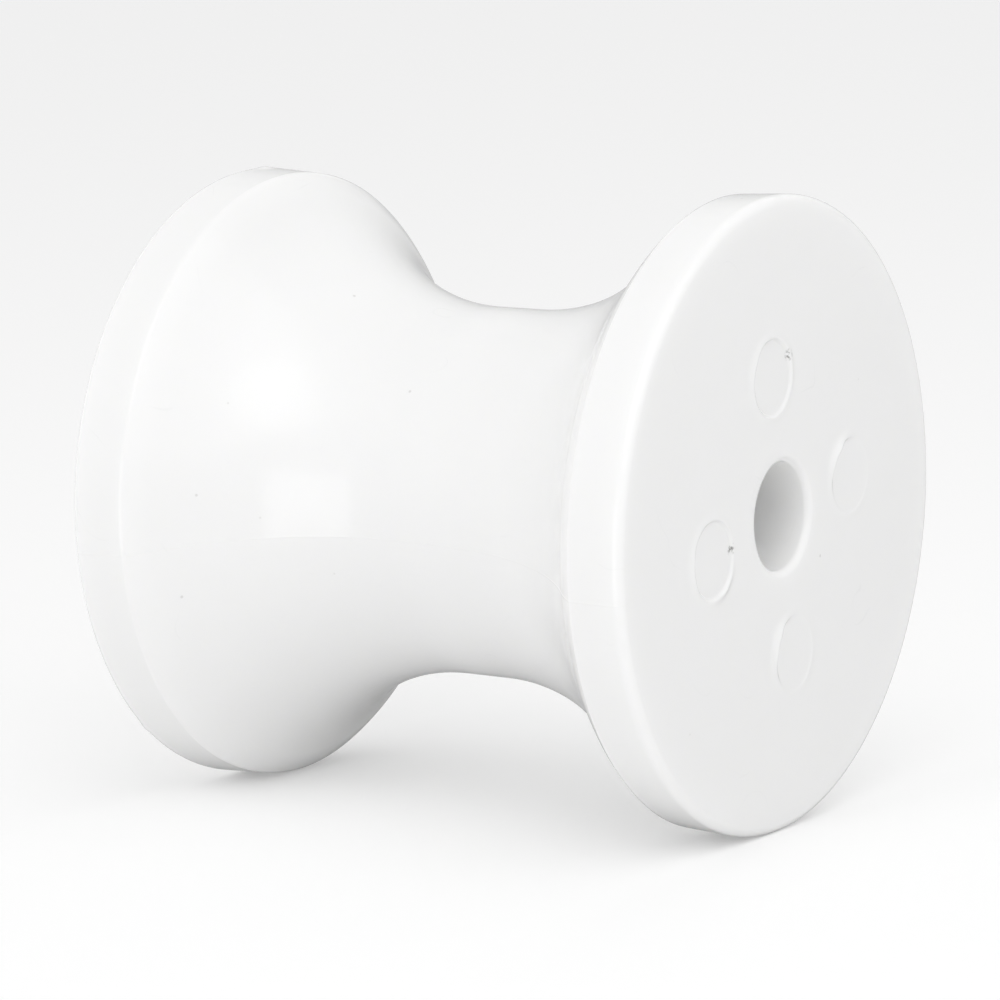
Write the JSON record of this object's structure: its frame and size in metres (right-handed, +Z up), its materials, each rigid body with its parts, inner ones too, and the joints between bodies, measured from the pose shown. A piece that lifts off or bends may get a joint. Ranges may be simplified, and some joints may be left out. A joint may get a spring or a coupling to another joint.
{
  "type": "bow roller",
  "caption": "White moulded hourglass roller that turns on an axle pin at a boat's bow and guides a rope, chain or keel between its flanges.",
  "frame": {"origin": "centre of the roller, on the bore's axis and halfway between the two end faces", "axes": "+Y along the bore, towards the end face with the four ejector marks; +Z up, with the axle level"},
  "size_m": [0.076, 0.076, 0.076],
  "materials": {
    "white_plastic": "injection moulded white plastic, semi gloss, with fine handling scratches"
  },
  "bodies": {
    "root": {"roller": "white_plastic"}
  },
  "joints": []
}
